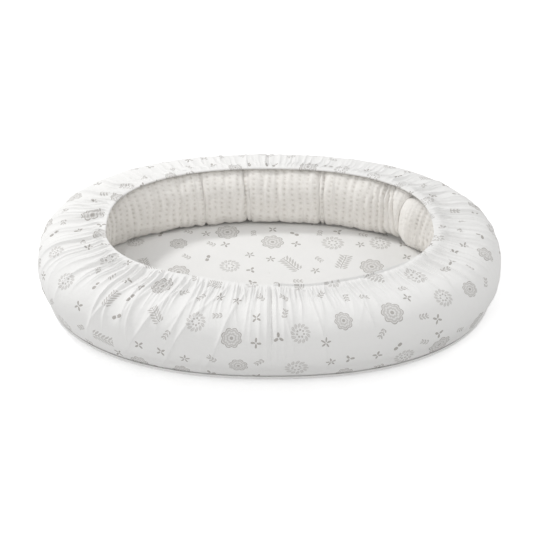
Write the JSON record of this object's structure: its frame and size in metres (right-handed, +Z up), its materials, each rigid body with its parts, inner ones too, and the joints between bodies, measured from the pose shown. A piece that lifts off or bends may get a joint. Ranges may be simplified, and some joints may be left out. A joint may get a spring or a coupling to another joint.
{
  "type": "infant lounger",
  "caption": "Oval infant lounger: a thin padded mattress ringed by a soft bolster, under a gathered cotton cover wall with an elastic hem.",
  "frame": {"origin": "middle of the flat underside, at the height of the surface that the lounger lies on", "axes": "+X along the length, +Y away from the near side, which holds the front seam, +Z up"},
  "size_m": [0.897, 0.6136, 0.1445],
  "materials": {
    "printed_cotton": "matt woven cotton, white with a small grey-taupe print",
    "plain_cotton": "matt woven cotton, plain off-white",
    "seersucker": "puckered dobby cotton, off-white",
    "fibre": "loose polyester fibre",
    "wadding": "firm bonded wadding",
    "elastic": "woven elastic tape",
    "zip_tape": "woven polyester tape",
    "zip_plastic": "white nylon teeth",
    "zip_metal": "white lacquered zinc"
  },
  "bodies": {
    "nest": {"cover_wall_right": "printed_cotton", "cover_wall_left": "printed_cotton", "hem_elastic": "elastic", "floor_panel": "printed_cotton", "edge_binding": "printed_cotton", "mattress_core": "wadding", "base_panel": "plain_cotton", "bolster_casing": "seersucker", "bolster_end_front": "seersucker", "bolster_end_rear": "seersucker", "bolster_filling": "fibre", "zip_tape_front": "zip_tape", "zip_teeth_front": "zip_plastic", "zip_top_stop_front": "zip_metal", "zip_tape_rear": "zip_tape", "zip_teeth_rear": "zip_plastic", "zip_top_stop_rear": "zip_metal", "zip_bottom_stop": "zip_metal"},
    "slider": {"zip_slider": "zip_metal"},
    "pull": {"zip_pull": "zip_metal"}
  },
  "joints": [
    {"name": "zip_slide", "type": "slide", "parent": "nest", "child": "slider", "axis": [-1, 0, 0], "range_m": [0, 0.508]},
    {"name": "pull_hinge", "type": "hinge", "parent": "slider", "child": "pull", "pos_m": [0.254, 0, 0.0026], "axis": [0, -1, 0], "range_deg": [0, 170]}
  ]
}
